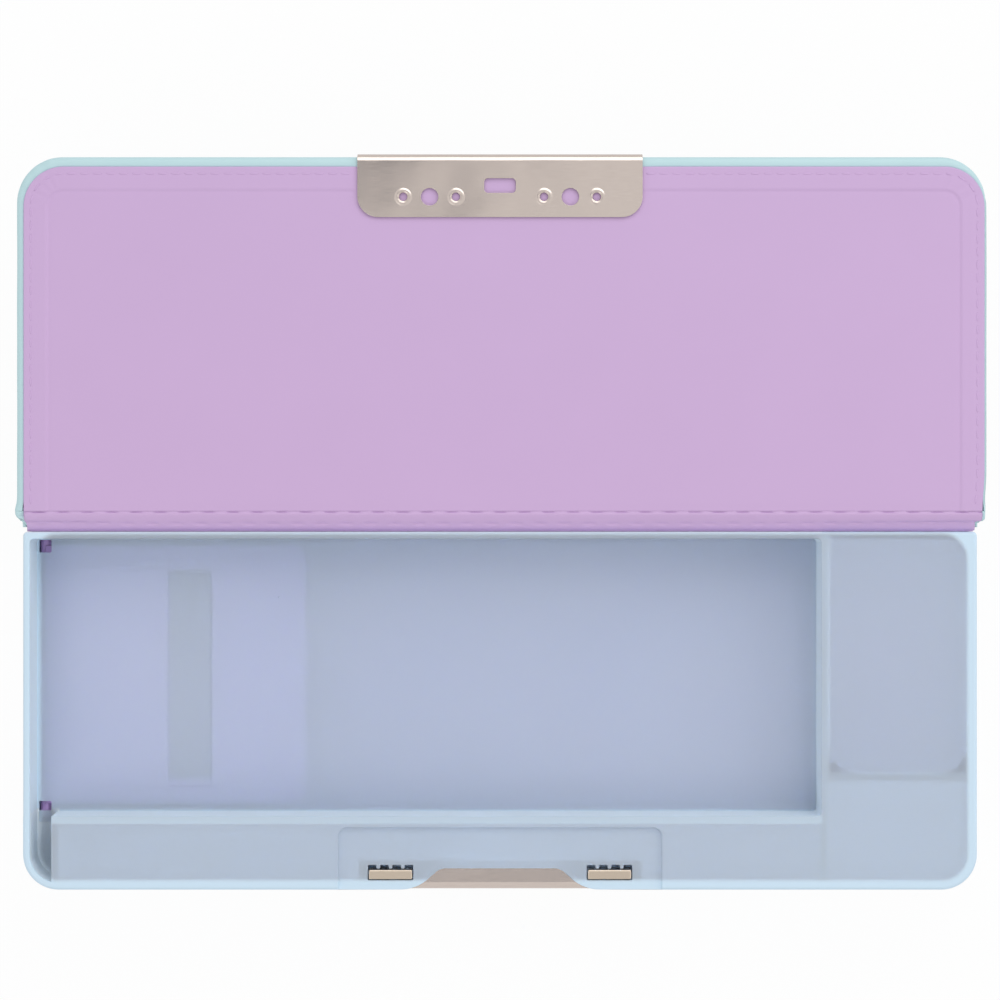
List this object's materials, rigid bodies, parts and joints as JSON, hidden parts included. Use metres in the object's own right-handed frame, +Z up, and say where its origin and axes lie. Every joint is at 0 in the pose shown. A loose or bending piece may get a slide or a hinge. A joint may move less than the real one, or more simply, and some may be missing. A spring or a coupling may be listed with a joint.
{
  "type": "pen case",
  "caption": "Slim pen case with a moulded tray used from both faces, padded lids with magnetic clasps and a swing-out pencil holder.",
  "frame": {"origin": "on the face that the shut lower lid stands on, under the middle of the tray", "axes": "+X along the case to its right-hand end, +Y from the front to the hinges, +Z up"},
  "size_m": [0.2334, 0.1803, 0.032],
  "materials": {
    "tray": "milky pale blue polypropylene, satin, slightly see-through",
    "skin": "light blue soft vinyl, satin, padded, hot-pressed at the edge",
    "lining": "lilac vinyl sheet, satin, with a pressed border",
    "board": "greyboard",
    "foam": "thin soft foam",
    "plating": "steel with warm satin nickel plating",
    "holder": "milky lilac polypropylene, satin"
  },
  "bodies": {
    "tray": {"tray": "tray", "magnet_a_left": "plating", "magnet_a_right": "plating", "magnet_b_left": "plating", "magnet_b_right": "plating", "spine_lining": "lining", "spine_board": "board", "spine_skin": "skin", "hinge_a_lining": "lining", "hinge_a_skin": "skin", "hinge_b_lining": "lining", "hinge_b_skin": "skin"},
    "lid_a": {"lid_a_skin": "skin", "lid_a_foam": "foam", "lid_a_board": "board", "lid_a_lining": "lining", "lid_a_clasp": "plating"},
    "lid_b": {"lid_b_skin": "skin", "lid_b_foam": "foam", "lid_b_board": "board", "lid_b_lining": "lining", "lid_b_clasp": "plating"},
    "pencil_holder": {"pencil_holder": "holder"}
  },
  "joints": [
    {"name": "lid_a_hinge", "type": "hinge", "parent": "tray", "child": "lid_a", "pos_m": [0, 0.04405, 0.0316], "axis": [1, 0, 0], "range_deg": [0, 179.9], "deforming": ["hinge_a_lining", "hinge_a_skin"]},
    {"name": "lid_b_hinge", "type": "hinge", "parent": "tray", "child": "lid_b", "pos_m": [0, 0.04405, 0.004], "axis": [1, 0, 0], "range_deg": [0, 179.9], "deforming": ["hinge_b_lining", "hinge_b_skin"]},
    {"name": "pencil_holder_hinge", "type": "hinge", "parent": "tray", "child": "pencil_holder", "pos_m": [-0.1115, 0.00805, 0.0149], "axis": [0, 1, 0], "range_deg": [0, 45]}
  ],
  "couplings": [
    {"joint": "pencil_holder_hinge", "follows": "lid_b_hinge", "ratio": 0.25}
  ]
}
